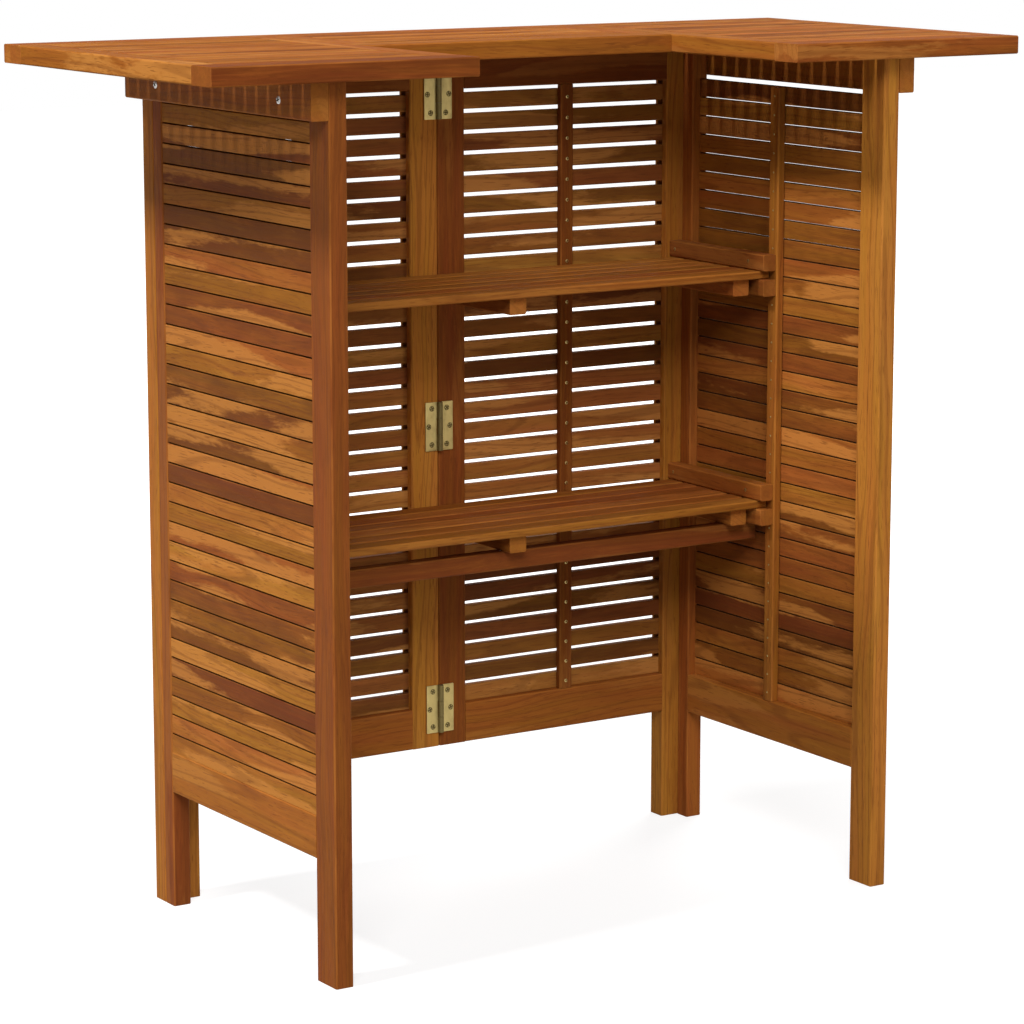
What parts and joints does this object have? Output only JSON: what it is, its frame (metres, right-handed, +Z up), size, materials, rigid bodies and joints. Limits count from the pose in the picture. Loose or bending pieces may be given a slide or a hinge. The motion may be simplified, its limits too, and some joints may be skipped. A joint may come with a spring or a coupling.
{
  "type": "outdoor bar table",
  "caption": "Slatted hardwood outdoor bar: a U-shaped sectioned top on slatted wings and hinged back leaves, with storage shelves that slide in guides on the serving side.",
  "frame": {"origin": "on the floor, below the middle of the table top's outline", "axes": "+Z up; +X along the length of the bar; -Y towards the open serving side, +Y towards the slatted back that the guests see"},
  "size_m": [1.11, 0.51, 1.05],
  "materials": {
    "wood_top": "oiled",
    "wood_frame": "oiled",
    "wood_slat": "oiled",
    "wood_shelf": "oiled",
    "brass_hinge": "satin",
    "steel_pin": "satin",
    "steel_bolt": "zinc plated"
  },
  "bodies": {
    "bar": {"corner_bolts": "steel_bolt", "hinge_leaves_left": "brass_hinge", "hinge_leaves_right": "brass_hinge", "hinge_pins": "steel_pin", "left_back_batten": "wood_frame", "left_back_bottom_rail": "wood_frame", "left_back_hinge_stile": "wood_frame", "left_back_leg": "wood_frame", "left_back_slats": "wood_slat", "left_back_top_rail": "wood_frame", "left_lower_guide_above": "wood_shelf", "left_lower_guide_below": "wood_shelf", "left_top_front_board": "wood_top", "left_top_inner_board": "wood_top", "left_top_outer_board": "wood_top", "left_top_rear_board": "wood_top", "left_top_slats": "wood_top", "left_upper_guide_above": "wood_shelf", "left_upper_guide_below": "wood_shelf", "left_wing_batten": "wood_frame", "left_wing_bottom_rail": "wood_frame", "left_wing_cleat": "wood_frame", "left_wing_front_stile": "wood_frame", "left_wing_rear_stile": "wood_frame", "left_wing_slats": "wood_slat", "middle_top_front_board": "wood_top", "middle_top_left_board": "wood_top", "middle_top_rear_board": "wood_top", "middle_top_right_board": "wood_top", "middle_top_slats": "wood_top", "right_back_batten": "wood_frame", "right_back_bottom_rail": "wood_frame", "right_back_hinge_stile": "wood_frame", "right_back_leg": "wood_frame", "right_back_slats": "wood_slat", "right_back_top_rail": "wood_frame", "right_lower_guide_above": "wood_shelf", "right_lower_guide_below": "wood_shelf", "right_top_front_board": "wood_top", "right_top_inner_board": "wood_top", "right_top_outer_board": "wood_top", "right_top_rear_board": "wood_top", "right_top_slats": "wood_top", "right_upper_guide_above": "wood_shelf", "right_upper_guide_below": "wood_shelf", "right_wing_batten": "wood_frame", "right_wing_bottom_rail": "wood_frame", "right_wing_cleat": "wood_frame", "right_wing_front_stile": "wood_frame", "right_wing_rear_stile": "wood_frame", "right_wing_slats": "wood_slat", "stretcher": "wood_shelf", "top_seam_tongues": "wood_top"},
    "upper_shelf": {"upper_shelf_slats": "wood_shelf", "upper_shelf_battens": "wood_shelf"},
    "lower_shelf": {"lower_shelf_slats": "wood_shelf", "lower_shelf_battens": "wood_shelf"}
  },
  "joints": [
    {"name": "upper_shelf_slide", "type": "slide", "parent": "bar", "child": "upper_shelf", "axis": [0, -1, 0], "range_m": [0, 0.1]},
    {"name": "lower_shelf_slide", "type": "slide", "parent": "bar", "child": "lower_shelf", "axis": [0, -1, 0], "range_m": [0, 0.1]}
  ]
}
